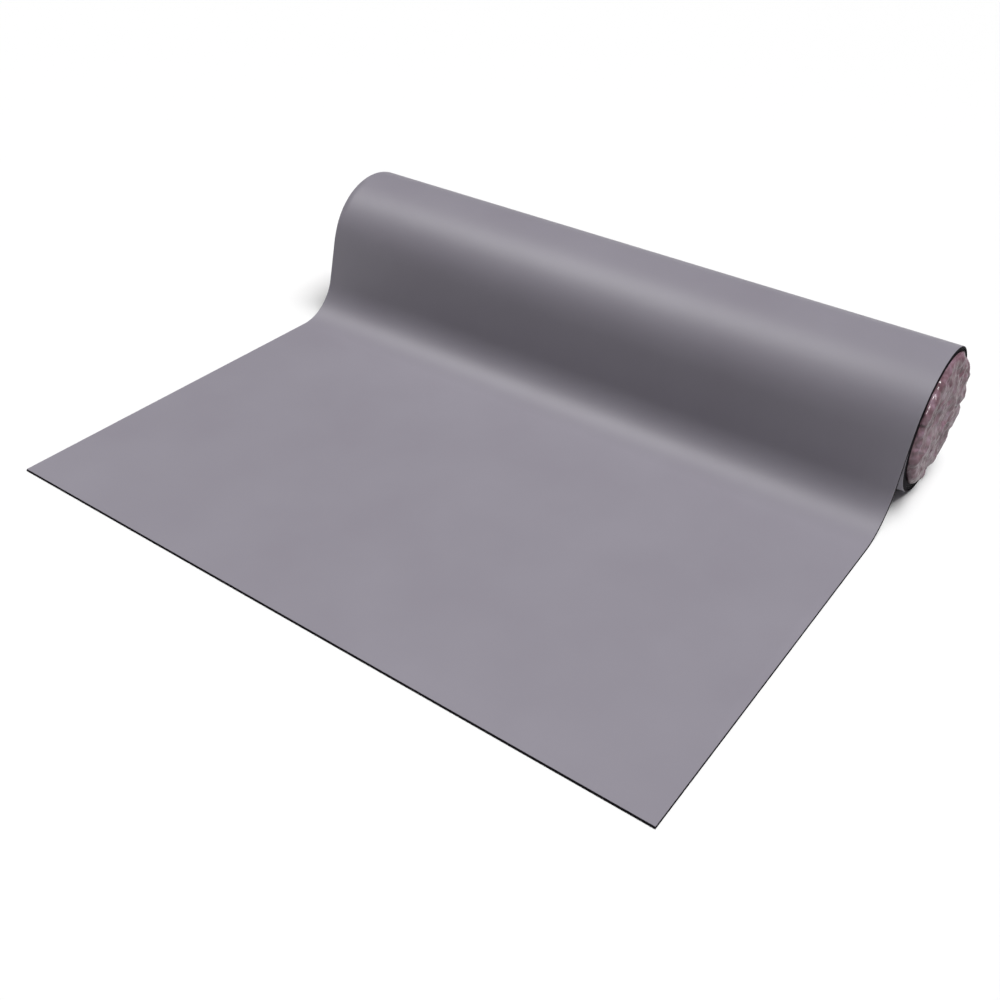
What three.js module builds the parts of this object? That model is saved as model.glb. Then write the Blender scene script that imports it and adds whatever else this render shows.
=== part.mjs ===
// Anti-static bench mat, sold by the roll: two-layer rubber sheet, wound up with its grey work
// face outwards and its free end run out flat on the floor in front of the roll.
//
// Millimetres, +Z up. The roll's axis lies along X, and the free end points to -Y.
// The origin is on the floor, under the middle of the whole object.

import * as THREE from 'three';

// The sheet
const MAT_WIDTH = 900;
const TOP_LAYER = 0.5;
const BASE_LAYER = 2.5;
const SHEET = TOP_LAYER + BASE_LAYER;

// The roll: its radius where the free end leaves it, and the hole in its middle
const ROLL_RADIUS = 95.5;
const BORE_DIAMETER = 30;

// The free end: the angles are measured from straight up, towards the free end
const LEAVE_ANGLE = THREE.MathUtils.degToRad(66.5);
const BULGE_TURN = THREE.MathUtils.degToRad(9.5);
const BULGE_RADIUS = 152;
const FOOT_SHARE = 0.47;
const FLAT_LENGTH = 493;

// The protective film, gathered over both ends of the roll inside its outermost turn
const FILM_TURNS_BARE = 2;
const FILM_BULGE = 12;
const FILM_MIDDLE_SLOPE = 3;
const FILM_GAP = 0.3;

// How finely the curves are cut
const ROLL_STEPS = 96;
const BULGE_STEPS = 4;
const FOOT_STEPS = 14;
const BORE_STEPS = 32;
const FILM_STEPS = 64;
const SHOULDER_STEPS = 6;

const FULL_TURN = 2 * Math.PI;

// A point of the sheet's outer face, with the direction that looks out of the sheet.
// The angle turns that direction from straight up towards the free end.
function facePoint(y, z, angle) {
  return { y, z, outY: -Math.sin(angle), outZ: Math.cos(angle) };
}

// The same point, a depth below the outer face.
function below(point, depth) {
  return new THREE.Vector2(point.y - depth * point.outY, point.z - depth * point.outZ);
}

// The outermost turn, from where the free end leaves it, over the top and round the back,
// until it goes under the sheet again. Each turn lies one sheet nearer to the axis.
function rollFace() {
  const turn = [];
  for (let i = 0; i <= ROLL_STEPS; i += 1) {
    const wound = FULL_TURN * i / ROLL_STEPS;
    const angle = LEAVE_ANGLE - wound;
    const radius = ROLL_RADIUS - SHEET * wound / FULL_TURN;
    turn.push(facePoint(-radius * Math.sin(angle), radius * Math.cos(angle), angle));
  }
  return turn;
}

// An arc of the sheet, from one angle to another. Where the angle grows, the bend's centre lies
// below the sheet, and where it shrinks, above it.
function arcFace(start, from, to, radius, steps) {
  const side = Math.sign(to - from);
  const arc = [];
  for (let i = 1; i <= steps; i += 1) {
    const angle = from + (to - from) * i / steps;
    const y = start.y - side * radius * (Math.sin(angle) - Math.sin(from));
    const z = start.z + side * radius * (Math.cos(angle) - Math.cos(from));
    arc.push(facePoint(y, z, angle));
  }
  return arc;
}

// The free end: it leaves the roll, bulges over, hangs straight, and bends out flat on the floor.
function freeFace(leave) {
  const steepest = LEAVE_ANGLE + BULGE_TURN;
  const bulge = arcFace(leave, LEAVE_ANGLE, steepest, BULGE_RADIUS, BULGE_STEPS);
  const hang = bulge[bulge.length - 1];
  const drop = hang.z - SHEET;
  const footDrop = drop * FOOT_SHARE;
  const footRadius = footDrop / (1 - Math.cos(steepest));
  const hangLength = (drop - footDrop) / Math.sin(steepest);
  const footTop = facePoint(
    hang.y - hangLength * Math.cos(steepest),
    hang.z - hangLength * Math.sin(steepest),
    steepest,
  );
  const foot = arcFace(footTop, steepest, 0, footRadius, FOOT_STEPS);
  const landed = foot[foot.length - 1];
  const edge = facePoint(landed.y - FLAT_LENGTH, SHEET, 0);
  return [...bulge, footTop, ...foot, edge];
}

// The roll rests on the floor, so its axis is as high as its lowest point is deep.
const rolledUp = rollFace();
const axisHeight = -Math.min(...rolledUp.map((point) => point.z));
for (const point of rolledUp) {
  point.z += axisHeight;
}
const leave = rolledUp[0];
const turnEnd = rolledUp[rolledUp.length - 1];
const freeEnd = freeFace(leave);
const rollBack = [...rolledUp].reverse();
const wholeFace = [...rollBack, ...freeEnd];

// Where the object's middle is, seen from the side
const frontY = freeEnd[freeEnd.length - 1].y;
const backY = Math.max(...rolledUp.map((point) => point.y));
const middleY = (frontY + backY) / 2;

// The grey top layer follows the whole outer face.
function topLayerSection() {
  const outer = wholeFace.map((point) => below(point, 0));
  const inner = wholeFace.map((point) => below(point, TOP_LAYER)).reverse();
  return new THREE.Shape([...outer, ...inner]);
}

// The black base layer is the free end's sheet, and behind it the wound turns as one turned
// solid with its bore. Where the free end leaves, the turn's tip lies under it.
function baseLayerSection() {
  const underTop = wholeFace.map((point) => below(point, TOP_LAYER));
  const underside = [leave, ...freeEnd].map((point) => below(point, SHEET)).reverse();
  const section = new THREE.Shape([...underTop, ...underside]);
  const bore = new THREE.Path();
  bore.absarc(0, axisHeight, BORE_DIAMETER / 2, 0, FULL_TURN, true);
  section.holes.push(bore);
  return section;
}

// A side section holds depth and height. Pushed out along the mat's width and turned, its
// depth lies along Y and its height along Z.
function acrossWidth(section) {
  const geometry = new THREE.ExtrudeGeometry(section, {
    depth: MAT_WIDTH,
    steps: 1,
    curveSegments: BORE_STEPS / 2,
    bevelEnabled: false,
  });
  geometry.translate(-middleY, 0, -MAT_WIDTH / 2);
  const toMatFrame = new THREE.Matrix4().makeBasis(
    new THREE.Vector3(0, 1, 0),
    new THREE.Vector3(0, 0, 1),
    new THREE.Vector3(1, 0, 0),
  );
  return geometry.applyMatrix4(toMatFrame);
}

// One gathered end of the film: flat against the turns, round at its shoulder, and a little
// higher in its middle. It leaves the outermost turns bare.
function filmGeometry() {
  const rim = turnEndRadius() - (FILM_TURNS_BARE - 1) * SHEET;
  const shoulder = FILM_BULGE - FILM_MIDDLE_SLOPE;
  const profile = [new THREE.Vector2(0, 0), new THREE.Vector2(rim, 0)];
  for (let i = 1; i <= SHOULDER_STEPS; i += 1) {
    const around = Math.PI / 2 * i / SHOULDER_STEPS;
    profile.push(new THREE.Vector2(
      rim - shoulder * (1 - Math.cos(around)),
      shoulder * Math.sin(around),
    ));
  }
  profile.push(new THREE.Vector2(0, FILM_BULGE));
  return new THREE.LatheGeometry(profile, FILM_STEPS);
}

// The radius of the turn that lies just under the free end
function turnEndRadius() {
  return Math.hypot(turnEnd.y, turnEnd.z - axisHeight);
}

function filmEnd(name, side, material) {
  const mesh = new THREE.Mesh(filmGeometry(), material);
  mesh.name = name;
  mesh.rotation.z = -side * Math.PI / 2;
  mesh.position.set(side * (MAT_WIDTH / 2 + FILM_GAP), -middleY, axisHeight);
  return mesh;
}

const greyRubber = new THREE.MeshStandardMaterial({ color: 0x8e8994, roughness: 0.62, metalness: 0 });
const blackRubber = new THREE.MeshStandardMaterial({ color: 0x17151a, roughness: 0.7, metalness: 0 });
const pinkFilm = new THREE.MeshStandardMaterial({ color: 0xa88a92, roughness: 0.25, metalness: 0 });

const group = new THREE.Group();

const topLayer = new THREE.Mesh(acrossWidth(topLayerSection()), greyRubber);
topLayer.name = 'dissipative_top_layer';
group.add(topLayer);

const baseLayer = new THREE.Mesh(acrossWidth(baseLayerSection()), blackRubber);
baseLayer.name = 'conductive_base_layer';
group.add(baseLayer);

group.add(filmEnd('end_film_right', 1, pinkFilm));
group.add(filmEnd('end_film_left', -1, pinkFilm));

export default group;
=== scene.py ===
import math

import bpy
import numpy as np
from mathutils import Matrix, Vector
from mathutils.bvhtree import BVHTree
from mathutils.geometry import delaunay_2d_cdt


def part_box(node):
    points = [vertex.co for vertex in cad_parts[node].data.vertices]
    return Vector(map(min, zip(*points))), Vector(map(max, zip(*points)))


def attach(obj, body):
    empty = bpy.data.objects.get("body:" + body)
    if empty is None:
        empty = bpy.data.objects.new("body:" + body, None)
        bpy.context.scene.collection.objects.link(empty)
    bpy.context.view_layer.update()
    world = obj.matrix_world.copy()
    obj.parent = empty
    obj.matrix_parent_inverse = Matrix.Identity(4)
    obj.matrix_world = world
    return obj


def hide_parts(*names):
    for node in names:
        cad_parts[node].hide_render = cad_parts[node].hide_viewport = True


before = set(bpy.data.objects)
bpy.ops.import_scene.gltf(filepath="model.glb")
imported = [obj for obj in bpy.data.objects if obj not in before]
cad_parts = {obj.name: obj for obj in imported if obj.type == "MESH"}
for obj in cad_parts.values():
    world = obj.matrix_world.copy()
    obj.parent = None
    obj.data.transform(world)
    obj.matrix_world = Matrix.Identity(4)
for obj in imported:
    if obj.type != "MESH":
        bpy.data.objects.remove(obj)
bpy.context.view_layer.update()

# Looks of the anti-static bench mat: a two-layer rubber sheet, wound up, with its free end run
# out flat and thin pink film crumpled over the roll's ends. Metres, in the frame of the solids.

MM = 0.001
FULL_TURN = 2 * math.pi


# The sizes that the solids were made with, and their places from the frame
TOP_LOW, TOP_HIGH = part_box("dissipative_top_layer")
FILM_LOW, FILM_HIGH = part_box("end_film_right")
HALF_WIDTH = TOP_HIGH.x
FRONT_Y = TOP_LOW.y
AXIS_Y = (FILM_LOW.y + FILM_HIGH.y) / 2
AXIS_Z = (FILM_LOW.z + FILM_HIGH.z) / 2
FILM_RISE = FILM_HIGH.x - HALF_WIDTH

SHEET = 3 * MM
TOP_LAYER = 0.5 * MM
TURN_GAP = 0.12 * MM
ROLL_RADIUS = 95.5 * MM
BORE_RADIUS = 15 * MM
LEAVE_ANGLE = math.radians(66.5)
BULGE_TURN = math.radians(9.5)
BULGE_RADIUS = 152 * MM
FOOT_SHARE = 0.47

# How finely the sheet is cut
ROLL_STEPS = 120
BULGE_STEPS = 8
HANG_STEPS = 6
FOOT_STEPS = 26
FLAT_STEPS = 60
WIDTH_STEPS = 84
INNER_TURN_STEPS = 64
EDGE_ROUND = 0.22 * MM

# How far the grey edge stands back from the black one, because the knife cuts aslant
CUT_SLANT = 0.8 * MM

# Low waves in the sheet: their height, the share of it that is left where the sheet lies on the
# floor, how high above the floor they are whole, and the lift that keeps the flat part off it
WAVE_HEIGHT = 0.35 * MM
WAVE_ON_FLOOR = 0.3
WAVE_FADE = 12 * MM
FLAT_LIFT = 0.12 * MM

# The ends of the turns inside the outermost one stand unevenly, and a little further in
TURN_UNEVEN = 0.5 * MM
TURN_SET_BACK = 0.6 * MM

# The film: its mesh, its round shoulder, how far it starts inside the second turn, above and
# more at the lowest turns, and how far its folds may sink behind the turns' ends. The shoulder
# takes this share of the way in, and of the whole rise.
FILM_ROUND_STEPS = 480
FILM_RISE_STEPS = 120
FILM_SHOULDER = 9 * MM
FILM_TUCK = 0.6 * MM
FILM_LOWER_TUCK = 9 * MM
FILM_SUNK = 0.4 * MM
SHOULDER_SHARE = 0.16
SHOULDER_RISE = 0.8

# How much lower than the solid's dome the film lies before it is crumpled. The left end is
# lower, so that it stays behind the roll in the photo's view.
RIGHT_FILM_LOWER = 3 * MM
LEFT_FILM_LOWER = 4 * MM

# Its crumples, as height and size: soft lumps, then three sizes of sharp folds. They are whole
# after one part in CRUMPLE_FADE of the shoulder.
SOFT_LUMPS = (1.2 * MM, 34 * MM)
SHARP_FOLDS = ((2.2 * MM, 25 * MM), (2.0 * MM, 12 * MM), (1.2 * MM, 6 * MM))
FACET_JITTER = 0.45
CRUMPLE_FADE = 6

# The table that the soft noise reads, and how its cells in space are counted into it
NOISE_TABLE = 4096
NOISE_SHIFT = 37.0
NOISE_STRIDES = np.array([73, 1297, 9973])

# The span that a noise texture's values mostly keep to
NOISE_SPAN = (0.3, 0.7)

# Edges that bend more than this are drawn sharp
SHARP_ANGLE = math.radians(38)

# The setting: the floor, the white background, which hardly lights the mat, and the strength
# of the two lights that reach only the film, with their width in degrees
FLOOR_HALF = 14
FLOOR_DROP = 0.1 * MM
WORLD_LIGHT = 0.06
WORLD_SEEN = 1.0
FILM_LIGHT = 5.0
FILM_LIGHT_WIDTH = 24


def camera():
    """The photo's view: its bearing, height, tilt and lens come from fitting the mat's edges."""
    azimuth = math.radians(35.08)
    elevation = math.radians(36.37)
    roll = math.radians(1.61)
    place = Vector((0.7002, AXIS_Y - 1.2746, 0.8296))
    focal_px = 1143.2
    frame_px = 1000
    sensor_mm = 36.0
    farthest = 50

    back = Vector((
        math.sin(azimuth) * math.cos(elevation),
        -math.cos(azimuth) * math.cos(elevation),
        math.sin(elevation),
    ))
    right = Vector((math.cos(azimuth), math.sin(azimuth), 0))
    up = back.cross(right)
    right_rolled = math.cos(roll) * right + math.sin(roll) * up
    up_rolled = back.cross(right_rolled)
    turned = Matrix((right_rolled, up_rolled, back)).transposed().to_4x4()

    data = bpy.data.cameras.new("photo_camera")
    data.sensor_width = sensor_mm
    data.lens = sensor_mm * focal_px / frame_px
    data.clip_end = farthest
    cam = bpy.data.objects.new("photo_camera", data)
    cam.matrix_world = Matrix.Translation(place) @ turned
    bpy.context.scene.collection.objects.link(cam)
    bpy.context.scene.camera = cam


camera()


# The sheet's outer face, seen from the side, as rows of y, z, outward y, outward z

def face_rows(y, z, angle):
    return np.column_stack([y, z, -np.sin(angle), np.cos(angle)])


def wound_face(first_turn, last_turn, steps_per_turn):
    """The wound sheet between two turns, counted from where the free end leaves the roll."""
    steps = round((last_turn - first_turn) * steps_per_turn)
    wound = np.linspace(first_turn, last_turn, steps + 1)
    angle = LEAVE_ANGLE - wound * FULL_TURN
    radius = ROLL_RADIUS - SHEET * wound
    return face_rows(AXIS_Y - radius * np.sin(angle), AXIS_Z + radius * np.cos(angle), angle)


def arc_face(start, first, last, radius, steps):
    """An arc from one angle to another: its centre is under the sheet where the angle grows."""
    side = math.copysign(1, last - first)
    angle = np.linspace(first, last, steps + 1)[1:]
    y = start[0] - side * radius * (np.sin(angle) - math.sin(first))
    z = start[1] + side * radius * (np.cos(angle) - math.cos(first))
    return face_rows(y, z, angle)


def straight_face(start, end, angle, steps):
    share = np.linspace(0, 1, steps + 1)[1:]
    y = start[0] + (end[0] - start[0]) * share
    z = start[1] + (end[1] - start[1]) * share
    return face_rows(y, z, np.full(steps, angle))


def free_face(leave):
    """The free end: a bulge over, a straight hang, a bend outwards, and the flat part."""
    steepest = LEAVE_ANGLE + BULGE_TURN
    bulge = arc_face(leave, LEAVE_ANGLE, steepest, BULGE_RADIUS, BULGE_STEPS)
    hang_from = bulge[-1]
    drop = hang_from[1] - SHEET
    foot_radius = drop * FOOT_SHARE / (1 - math.cos(steepest))
    hang_length = drop * (1 - FOOT_SHARE) / math.sin(steepest)
    hang_to = (
        hang_from[0] - hang_length * math.cos(steepest),
        hang_from[1] - hang_length * math.sin(steepest),
    )
    hang = straight_face(hang_from, hang_to, steepest, HANG_STEPS)
    foot = arc_face(hang[-1], steepest, 0, foot_radius, FOOT_STEPS)
    grey_edge = FRONT_Y + CUT_SLANT
    rounded_from = (grey_edge + EDGE_ROUND, SHEET)
    flat = straight_face(foot[-1], rounded_from, 0, FLAT_STEPS)
    edge = straight_face(rounded_from, (grey_edge, SHEET), 0, 1)
    return np.vstack([bulge, hang, foot, flat, edge])


def smooth_noise(count, knots, seed):
    """One smooth random line of that many values, about 1 high, with that many bends."""
    values = np.random.default_rng(seed).normal(0, 0.5, knots + 4)
    at = np.linspace(1, knots + 1, count)
    whole = np.floor(at).astype(int)
    part = at - whole
    a, b, c, d = (values[whole + k] for k in (-1, 0, 1, 2))
    return b + 0.5 * part * (c - a + part * (2 * a - 5 * b + 4 * c - d
                                             + part * (3 * (b - c) + d - a)))


def ripples(rows, columns, height):
    """Low waves over the sheet, as real sheet that was wound up keeps them."""
    across_share = 0.6
    along = smooth_noise(rows, knots=14, seed=3)[:, None] * smooth_noise(columns, knots=4, seed=5)
    across = smooth_noise(rows, knots=7, seed=7)[:, None] * smooth_noise(columns, knots=9, seed=11)
    return height * (along + across_share * across)


def new_mesh(name, vertices, faces, material):
    mesh = bpy.data.meshes.new(name)
    mesh.from_pydata(vertices.tolist(), [], faces)
    mesh.validate()
    mesh.materials.append(material)
    mesh.shade_smooth()
    mesh.set_sharp_from_angle(angle=SHARP_ANGLE)
    piece = bpy.data.objects.new(name, mesh)
    bpy.context.scene.collection.objects.link(piece)
    return piece


def grid_faces(rows, columns, first, flipped):
    """The four-sided faces of a grid of vertices that starts at first."""
    faces = []
    for r in range(rows - 1):
        for c in range(columns - 1):
            a = first + r * columns + c
            face = (a, a + 1, a + columns + 1, a + columns)
            faces.append(face[::-1] if flipped else face)
    return faces


def layer_solid(face, stations, top_depth, low_depth, lift, first, slanted=False):
    """One closed layer of the sheet, between two depths below its outer face.

    stations are the places across the width, lift moves both faces outwards, and first is the
    number of its first vertex. slanted cuts the sheet's front edge aslant.
    It returns the vertices, the faces above and below, and the faces of its edges."""
    rows, columns = len(face), len(stations)
    outward = face[:, None, 2:4]
    place = face[:, None, :2] + outward * lift[:, :, None]
    surfaces = []
    for depth in (top_depth, low_depth):
        reach = 1 - CUT_SLANT / HALF_WIDTH * (1 - depth / SHEET)
        across = (stations * reach)[:, :, None]
        surface = np.concatenate([across, place - outward * depth[:, :, None]], axis=2)
        if slanted:
            surface[-2:, :, 1] -= CUT_SLANT * depth[-2:] / SHEET
        surfaces.append(surface.reshape(-1, 3))
    vertices = np.vstack(surfaces)
    under = rows * columns
    faces = grid_faces(rows, columns, first, False)
    faces += grid_faces(rows, columns, first + under, True)
    rim = list(range(columns))
    rim += [r * columns + columns - 1 for r in range(1, rows)]
    rim += [(rows - 1) * columns + c for c in range(columns - 2, -1, -1)]
    rim += [r * columns for r in range(rows - 2, 0, -1)]
    rim = [first + vertex for vertex in rim]
    sides = [(b, a, a + under, b + under) for a, b in zip(rim, rim[1:] + rim[:1])]
    return vertices, faces, sides


def sheet_layer(name, top_depth, low_depth, rounds_below, material, edge_material):
    """A whole layer: the free end with the outermost turn, and the turns inside it.

    Its cut edges are rounded on its upper side, or on its lower side with rounds_below."""
    outer = wound_face(0, 1, ROLL_STEPS)[::-1]
    free = free_face(outer[-1])
    face = np.vstack([outer, free])
    inner_width = np.linspace(-1, 1, WIDTH_STEPS + 1) * (HALF_WIDTH - EDGE_ROUND)
    stations = np.concatenate([[-HALF_WIDTH], inner_width, [HALF_WIDTH]])
    shape = (len(face), len(stations))
    in_air = np.interp(face[:, 1], [SHEET, SHEET + WAVE_FADE], [0, 1])[:, None]
    waves = ripples(*shape, WAVE_HEIGHT) * (WAVE_ON_FLOOR + (1 - WAVE_ON_FLOOR) * in_air)
    waves += FLAT_LIFT * (1 - in_air)
    depths = [np.full(shape, top_depth), np.full(shape, low_depth)]
    edge = depths[1] if rounds_below else depths[0]
    inwards = -EDGE_ROUND if rounds_below else EDGE_ROUND
    edge[:, 0] += inwards
    edge[:, -1] += inwards
    edge[-1, 1:-1] += inwards
    vertices, faces, sides = layer_solid(face, stations, *depths, waves, 0, slanted=True)

    turns = (ROLL_RADIUS - BORE_RADIUS) / SHEET - 1
    coil = wound_face(1, turns, INNER_TURN_STEPS)[::-1]
    uneven = TURN_UNEVEN * smooth_noise(len(coil), knots=60, seed=13)
    reach = HALF_WIDTH + uneven - TURN_SET_BACK
    coil_vertices, coil_faces, coil_sides = layer_solid(
        coil,
        np.array([-1.0, 1.0]),
        np.full((len(coil), 2), top_depth + TURN_GAP),
        np.full((len(coil), 2), low_depth),
        np.zeros((len(coil), 2)),
        len(vertices),
    )
    coil_vertices[:, 0] *= np.tile(np.repeat(reach, 2), 2)
    vertices = np.vstack([vertices, coil_vertices])
    sides += coil_sides
    piece = new_mesh(name, vertices, faces + coil_faces + sides, material)
    piece.data.materials.append(edge_material)
    material_numbers = [0] * (len(faces) + len(coil_faces)) + [1] * len(sides)
    piece.data.polygons.foreach_set("material_index", material_numbers)
    return piece


# Materials

def node_material(name):
    material = bpy.data.materials.new(name)
    material.use_nodes = True
    nodes = material.node_tree.nodes
    return material, nodes, material.node_tree.links, nodes["Principled BSDF"]


def noise_node(nodes, links, coordinates, scale, detail, roughness=0.5):
    texture = nodes.new("ShaderNodeTexNoise")
    texture.inputs["Scale"].default_value = scale
    texture.inputs["Detail"].default_value = detail
    texture.inputs["Roughness"].default_value = roughness
    links.new(coordinates, texture.inputs["Vector"])
    return texture.outputs["Fac"]


def ramp_node(nodes, links, value, stops):
    """A colour ramp from (place, colour) stops."""
    ramp = nodes.new("ShaderNodeValToRGB")
    while len(ramp.color_ramp.elements) < len(stops):
        ramp.color_ramp.elements.new(0.5)
    for element, (place, colour) in zip(ramp.color_ramp.elements, stops):
        element.position = place
        element.color = (*colour, 1)
    links.new(value, ramp.inputs["Fac"])
    return ramp.outputs["Color"]


def map_node(nodes, links, value, low, high):
    """Spreads a noise texture's values from low to high."""
    spread = nodes.new("ShaderNodeMapRange")
    spread.inputs["From Min"].default_value = NOISE_SPAN[0]
    spread.inputs["From Max"].default_value = NOISE_SPAN[1]
    spread.inputs["To Min"].default_value = low
    spread.inputs["To Max"].default_value = high
    links.new(value, spread.inputs["Value"])
    return spread.outputs["Result"]


def bump_node(nodes, links, height, distance, strength, below=None):
    """A bump from a height texture, on top of the bump below where there is one."""
    bump = nodes.new("ShaderNodeBump")
    bump.inputs["Distance"].default_value = distance
    bump.inputs["Strength"].default_value = strength
    links.new(height, bump.inputs["Height"])
    if below is not None:
        links.new(below, bump.inputs["Normal"])
    return bump.outputs["Normal"]


def grey_rubber():
    """Calendered rubber: a fine pebble, faint clouds of tone, and a soft low gloss."""
    material, nodes, links, shader = node_material("grey_rubber")
    place = nodes.new("ShaderNodeTexCoord").outputs["Object"]
    clouds = noise_node(nodes, links, place, scale=7, detail=3)
    tone = ramp_node(nodes, links, clouds, [
        (0.3, (0.250, 0.233, 0.272)),
        (0.5, (0.258, 0.242, 0.281)),
        (0.7, (0.266, 0.250, 0.290)),
    ])
    links.new(tone, shader.inputs["Base Color"])
    pebble = noise_node(nodes, links, place, scale=900, detail=2)
    links.new(map_node(nodes, links, pebble, low=0.42, high=0.52), shader.inputs["Roughness"])
    shader.inputs["Specular IOR Level"].default_value = 0.5
    fine = bump_node(nodes, links, pebble, distance=0.08 * MM, strength=0.6)
    soft = noise_node(nodes, links, place, scale=60, detail=3)
    coarse = bump_node(nodes, links, soft, distance=0.2 * MM, strength=0.35, below=fine)
    links.new(coarse, shader.inputs["Normal"])
    return material


def black_rubber():
    """Carbon-filled rubber, with a fine grain."""
    material, nodes, links, shader = node_material("black_rubber")
    place = nodes.new("ShaderNodeTexCoord").outputs["Object"]
    clouds = noise_node(nodes, links, place, scale=40, detail=4)
    tone = ramp_node(nodes, links, clouds, [
        (0.3, (0.006, 0.005, 0.007)),
        (0.7, (0.012, 0.010, 0.013)),
    ])
    links.new(tone, shader.inputs["Base Color"])
    grain = noise_node(nodes, links, place, scale=1500, detail=2)
    links.new(map_node(nodes, links, grain, low=0.75, high=0.9), shader.inputs["Roughness"])
    shader.inputs["Specular IOR Level"].default_value = 0.08
    fine = bump_node(nodes, links, grain, distance=0.06 * MM, strength=0.5)
    links.new(fine, shader.inputs["Normal"])
    return material


def pink_film():
    """Thin glossy film with a pink tint, crinkled more finely than its mesh."""
    material, nodes, links, shader = node_material("pink_film")
    place = nodes.new("ShaderNodeTexCoord").outputs["Object"]
    patches = noise_node(nodes, links, place, scale=90, detail=4, roughness=0.55)
    tone = ramp_node(nodes, links, patches, [
        (0.30, (0.048, 0.025, 0.030)),
        (0.50, (0.084, 0.049, 0.060)),
        (0.70, (0.128, 0.086, 0.110)),
    ])
    links.new(tone, shader.inputs["Base Color"])
    crinkle = noise_node(nodes, links, place, scale=240, detail=3)
    links.new(map_node(nodes, links, crinkle, low=0.3, high=0.45), shader.inputs["Roughness"])
    shader.inputs["Specular IOR Level"].default_value = 0.1
    shader.inputs["Coat Weight"].default_value = 0.16
    shader.inputs["Coat IOR"].default_value = 2.0
    shader.inputs["Coat Roughness"].default_value = 0.12
    fine = bump_node(nodes, links, crinkle, distance=0.8 * MM, strength=0.8)
    links.new(fine, shader.inputs["Normal"])
    links.new(fine, shader.inputs["Coat Normal"])
    return material


def painted_shade_edge():
    """The grey layer's cut edge, painted near black: painted shade, so that the edge reads as one
    dark line together with the shadow along it.
    """
    material, nodes, links, shader = node_material("painted_shade_edge")
    place = nodes.new("ShaderNodeTexCoord").outputs["Object"]
    dark_mottle = noise_node(nodes, links, place, scale=120, detail=4)
    # Near-black painted shade on the grey layer's edge, mottled at random
    tone = ramp_node(nodes, links, dark_mottle, [
        (0.35, (0.008, 0.007, 0.009)),
        (0.7, (0.028, 0.025, 0.030)),
    ])
    links.new(tone, shader.inputs["Base Color"])
    shader.inputs["Roughness"].default_value = 0.85
    shader.inputs["Specular IOR Level"].default_value = 0.1
    return material


# The film over the roll's ends

def lattice_noise(points, size, seed):
    """Smooth random values at points in space, about -1 to 1, with bumps of that size."""
    rng = np.random.default_rng(seed)
    table = rng.random(NOISE_TABLE) * 2 - 1
    at = points / size + NOISE_SHIFT
    low = np.floor(at).astype(int)
    part = at - low
    fade = part * part * (3 - 2 * part)
    total = np.zeros(len(points))
    for corner in range(8):
        step = np.array([corner & 1, corner >> 1 & 1, corner >> 2 & 1])
        key = (low + step) @ NOISE_STRIDES % NOISE_TABLE
        weight = np.prod(np.where(step, fade, 1 - fade), axis=1)
        total += weight * table[key]
    return total


def facets(places, size, seed):
    """Random heights, -1 to 1, at scattered points, with flat facets between them."""
    rng = np.random.default_rng(seed)
    reach = np.abs(places).max() + 2 * size
    steps = np.arange(-reach, reach, size)
    sites = np.array([(x, y) for x in steps for y in steps])
    sites += rng.uniform(-FACET_JITTER, FACET_JITTER, sites.shape) * size
    smallest_gap = 1e-9
    joined = delaunay_2d_cdt([Vector(site) for site in sites], [], [], 0, smallest_gap)
    corners = [(v.x, v.y, rng.uniform(-1, 1)) for v in joined[0]]
    tree = BVHTree.FromPolygons(corners, joined[2])
    above = 2
    down = Vector((0, 0, -1))
    return np.array([tree.ray_cast(Vector((x, y, above)), down)[0].z for x, y in places])


def crumple(points, places, seed):
    """How far the crumpled film stands out of its smooth shape.

    points are in space, and places are the same ones unrolled flat."""
    height, size = SOFT_LUMPS
    out = height * lattice_noise(points, size, seed)
    for step, (height, size) in enumerate(SHARP_FOLDS, 1):
        out = out + height * facets(places, size, seed + step)
    return out


def dome_faces(ring, vertices):
    """The faces between rings of that many vertices, and a fan to the one in the middle."""
    faces = []
    last = vertices - ring
    for c in range(ring):
        after = (c + 1) % ring
        for k in range(0, last, ring):
            faces.append((k + c, k + after, k + after + ring, k + c + ring))
        faces.append((last + c, last + after, vertices))
    return faces


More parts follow.
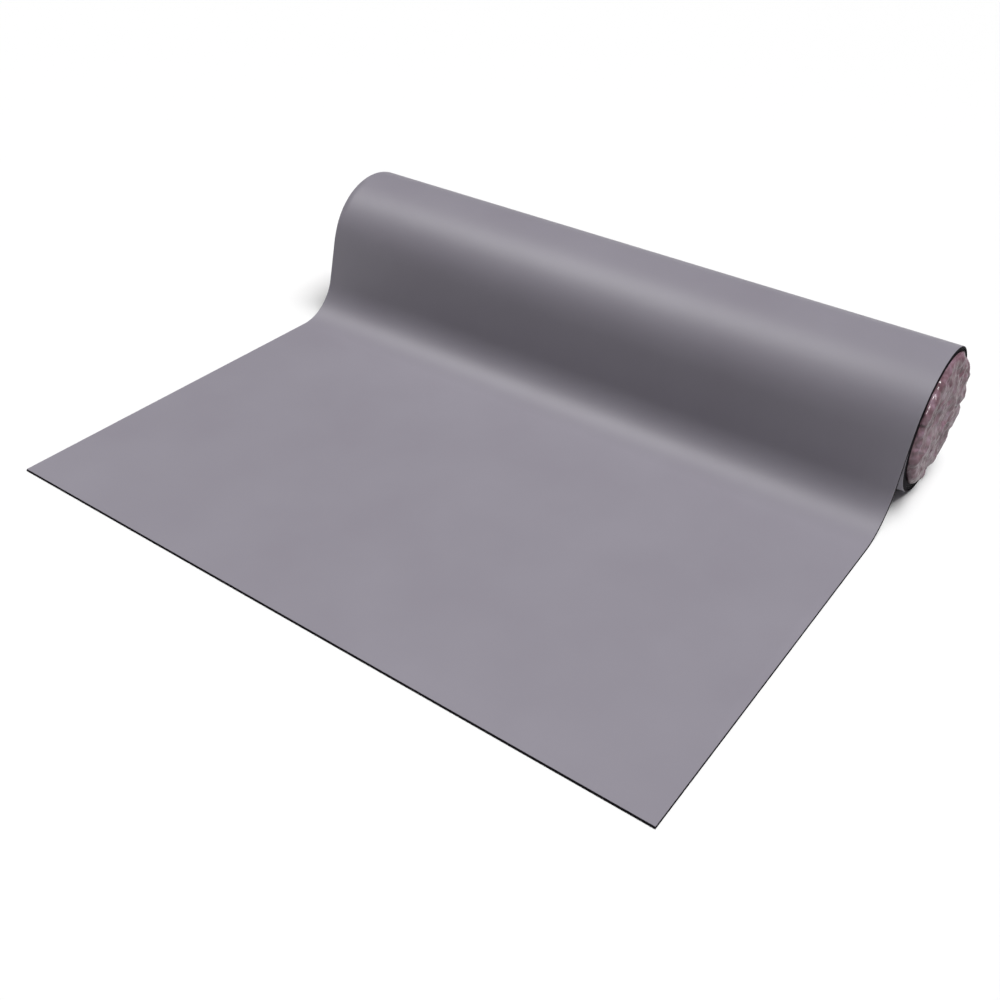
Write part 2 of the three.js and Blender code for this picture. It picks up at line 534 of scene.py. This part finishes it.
def film_end(name, side, rise, seed, material):
    """The film comes out from under the second turn, and lies crumpled over the end."""
    around = np.linspace(0, FULL_TURN, FILM_ROUND_STEPS, endpoint=False)[None]
    wound = np.mod(LEAVE_ANGLE - around, FULL_TURN) / FULL_TURN
    lower = np.maximum(0, -np.cos(around)) ** 2
    rim = ROLL_RADIUS - SHEET * (2 + wound) - FILM_TUCK - FILM_LOWER_TUCK * lower

    along = np.linspace(0, 1, FILM_RISE_STEPS + 1)[:-1, None]
    turned = np.minimum(along / SHOULDER_SHARE, 1) * math.pi / 2
    inwards = np.maximum(along - SHOULDER_SHARE, 0) / (1 - SHOULDER_SHARE)
    radii = rim - FILM_SHOULDER * (1 - np.cos(turned)) - (rim - FILM_SHOULDER) * inwards
    to_middle = (1 - SHOULDER_RISE) * np.sin(inwards * math.pi / 2)
    heights = rise * (SHOULDER_RISE * np.sin(turned) + to_middle) + 0 * radii

    def places(reach, height):
        y = AXIS_Y - reach * np.sin(around)
        z = AXIS_Z + reach * np.cos(around)
        return np.column_stack([(HALF_WIDTH + height).ravel(), y.ravel(), z.ravel()])

    from_middle = rim * (1 - along)
    unrolled = np.column_stack([
        (from_middle * np.sin(around)).ravel(),
        (from_middle * np.cos(around)).ravel(),
    ])
    stands_out = crumple(places(radii, heights), unrolled, seed).reshape(radii.shape)
    stands_out *= np.minimum(along / SHOULDER_SHARE * CRUMPLE_FADE, 1)
    radii = radii + stands_out * np.cos(turned)
    heights = np.maximum(heights + stands_out * np.sin(turned), -FILM_SUNK)
    rings = places(radii, heights)
    middle = [[rings[-FILM_ROUND_STEPS:, 0].mean(), AXIS_Y, AXIS_Z]]
    vertices = np.vstack([rings, middle]) * np.array([side, 1, 1])
    faces = dome_faces(FILM_ROUND_STEPS, len(rings))
    if side < 0:
        faces = [face[::-1] for face in faces]
    piece = new_mesh(name, vertices, faces, material)
    piece.data.set_sharp_from_angle(angle=math.pi)
    return piece


# The setting

def floor():
    material, nodes, links, shader = node_material("pale_floor")
    shader.inputs["Base Color"].default_value = (0.86, 0.86, 0.86, 1)
    shader.inputs["Roughness"].default_value = 0.9
    shader.inputs["Specular IOR Level"].default_value = 0.1
    corners = np.array([
        (x * FLOOR_HALF, y * FLOOR_HALF, -FLOOR_DROP)
        for x, y in [(-1, -1), (1, -1), (1, 1), (-1, 1)]
    ])
    plane = new_mesh("floor", corners, [(0, 1, 2, 3)], material)


def sun(name, energy, toward, width):
    """A far light that stands in that direction and looks that many degrees wide."""
    data = bpy.data.lights.new(name, "SUN")
    data.energy = energy
    data.angle = math.radians(width)
    lamp = bpy.data.objects.new(name, data)
    lamp.rotation_mode = "QUATERNION"
    lamp.rotation_quaternion = Vector(toward).to_track_quat("Z", "Y")
    bpy.context.scene.collection.objects.link(lamp)
    return lamp


def studio(films):
    """A light that shades the rubber, one that only shines on it, and one for each film end."""
    world = bpy.data.worlds.new("studio")
    world.use_nodes = True
    background = world.node_tree.nodes["Background"]
    background.inputs["Color"].default_value = (1, 1, 1, 1)
    links = world.node_tree.links
    seen = world.node_tree.nodes.new("ShaderNodeLightPath").outputs["Is Camera Ray"]
    strength = world.node_tree.nodes.new("ShaderNodeMapRange")
    strength.inputs["To Min"].default_value = WORLD_LIGHT
    strength.inputs["To Max"].default_value = WORLD_SEEN
    links.new(seen, strength.inputs["Value"])
    links.new(strength.outputs["Result"], background.inputs["Strength"])
    bpy.context.scene.world = world

    overhead = sun("overhead", energy=3.65, toward=(0.24, 0.13, 1), width=36)
    overhead.visible_glossy = False
    softbox = sun("softbox", energy=1.85, toward=(-0.40, -0.18, 0.88), width=30)
    softbox.visible_diffuse = False
    ends = bpy.data.collections.new("film_ends")
    for piece in films:
        ends.objects.link(piece)
    for name, toward in [("right_box", (0.42, -0.42, 1.2)), ("left_box", (-0.8, -0.3, 0.6))]:
        box = sun(name, FILM_LIGHT, toward, FILM_LIGHT_WIDTH)
        box.light_linking.receiver_collection = ends

    settings = bpy.context.scene.view_settings
    settings.view_transform = "Standard"
    settings.look = "None"


def dress(piece, node):
    """Hands a piece to the one body and the solid that it replaces."""
    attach(piece, "root")
    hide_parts(node)


def mat():
    # The top layer's cut edges get the near-black painted shade
    top = sheet_layer("mat_top_layer", 0.0, TOP_LAYER, False, grey_rubber(), painted_shade_edge())
    dress(top, "dissipative_top_layer")
    low_depth = SHEET - TURN_GAP
    black = black_rubber()
    base = sheet_layer("mat_base_layer", TOP_LAYER, low_depth, True, black, black)
    dress(base, "conductive_base_layer")


def film():
    material = pink_film()
    right_rise = FILM_RISE - RIGHT_FILM_LOWER
    right = film_end("crumpled_film_right", side=1, rise=right_rise, seed=104, material=material)
    dress(right, "end_film_right")
    left_rise = FILM_RISE - LEFT_FILM_LOWER
    left = film_end("crumpled_film_left", side=-1, rise=left_rise, seed=304, material=material)
    dress(left, "end_film_left")
    return right, left


mat()
floor()
studio(film())
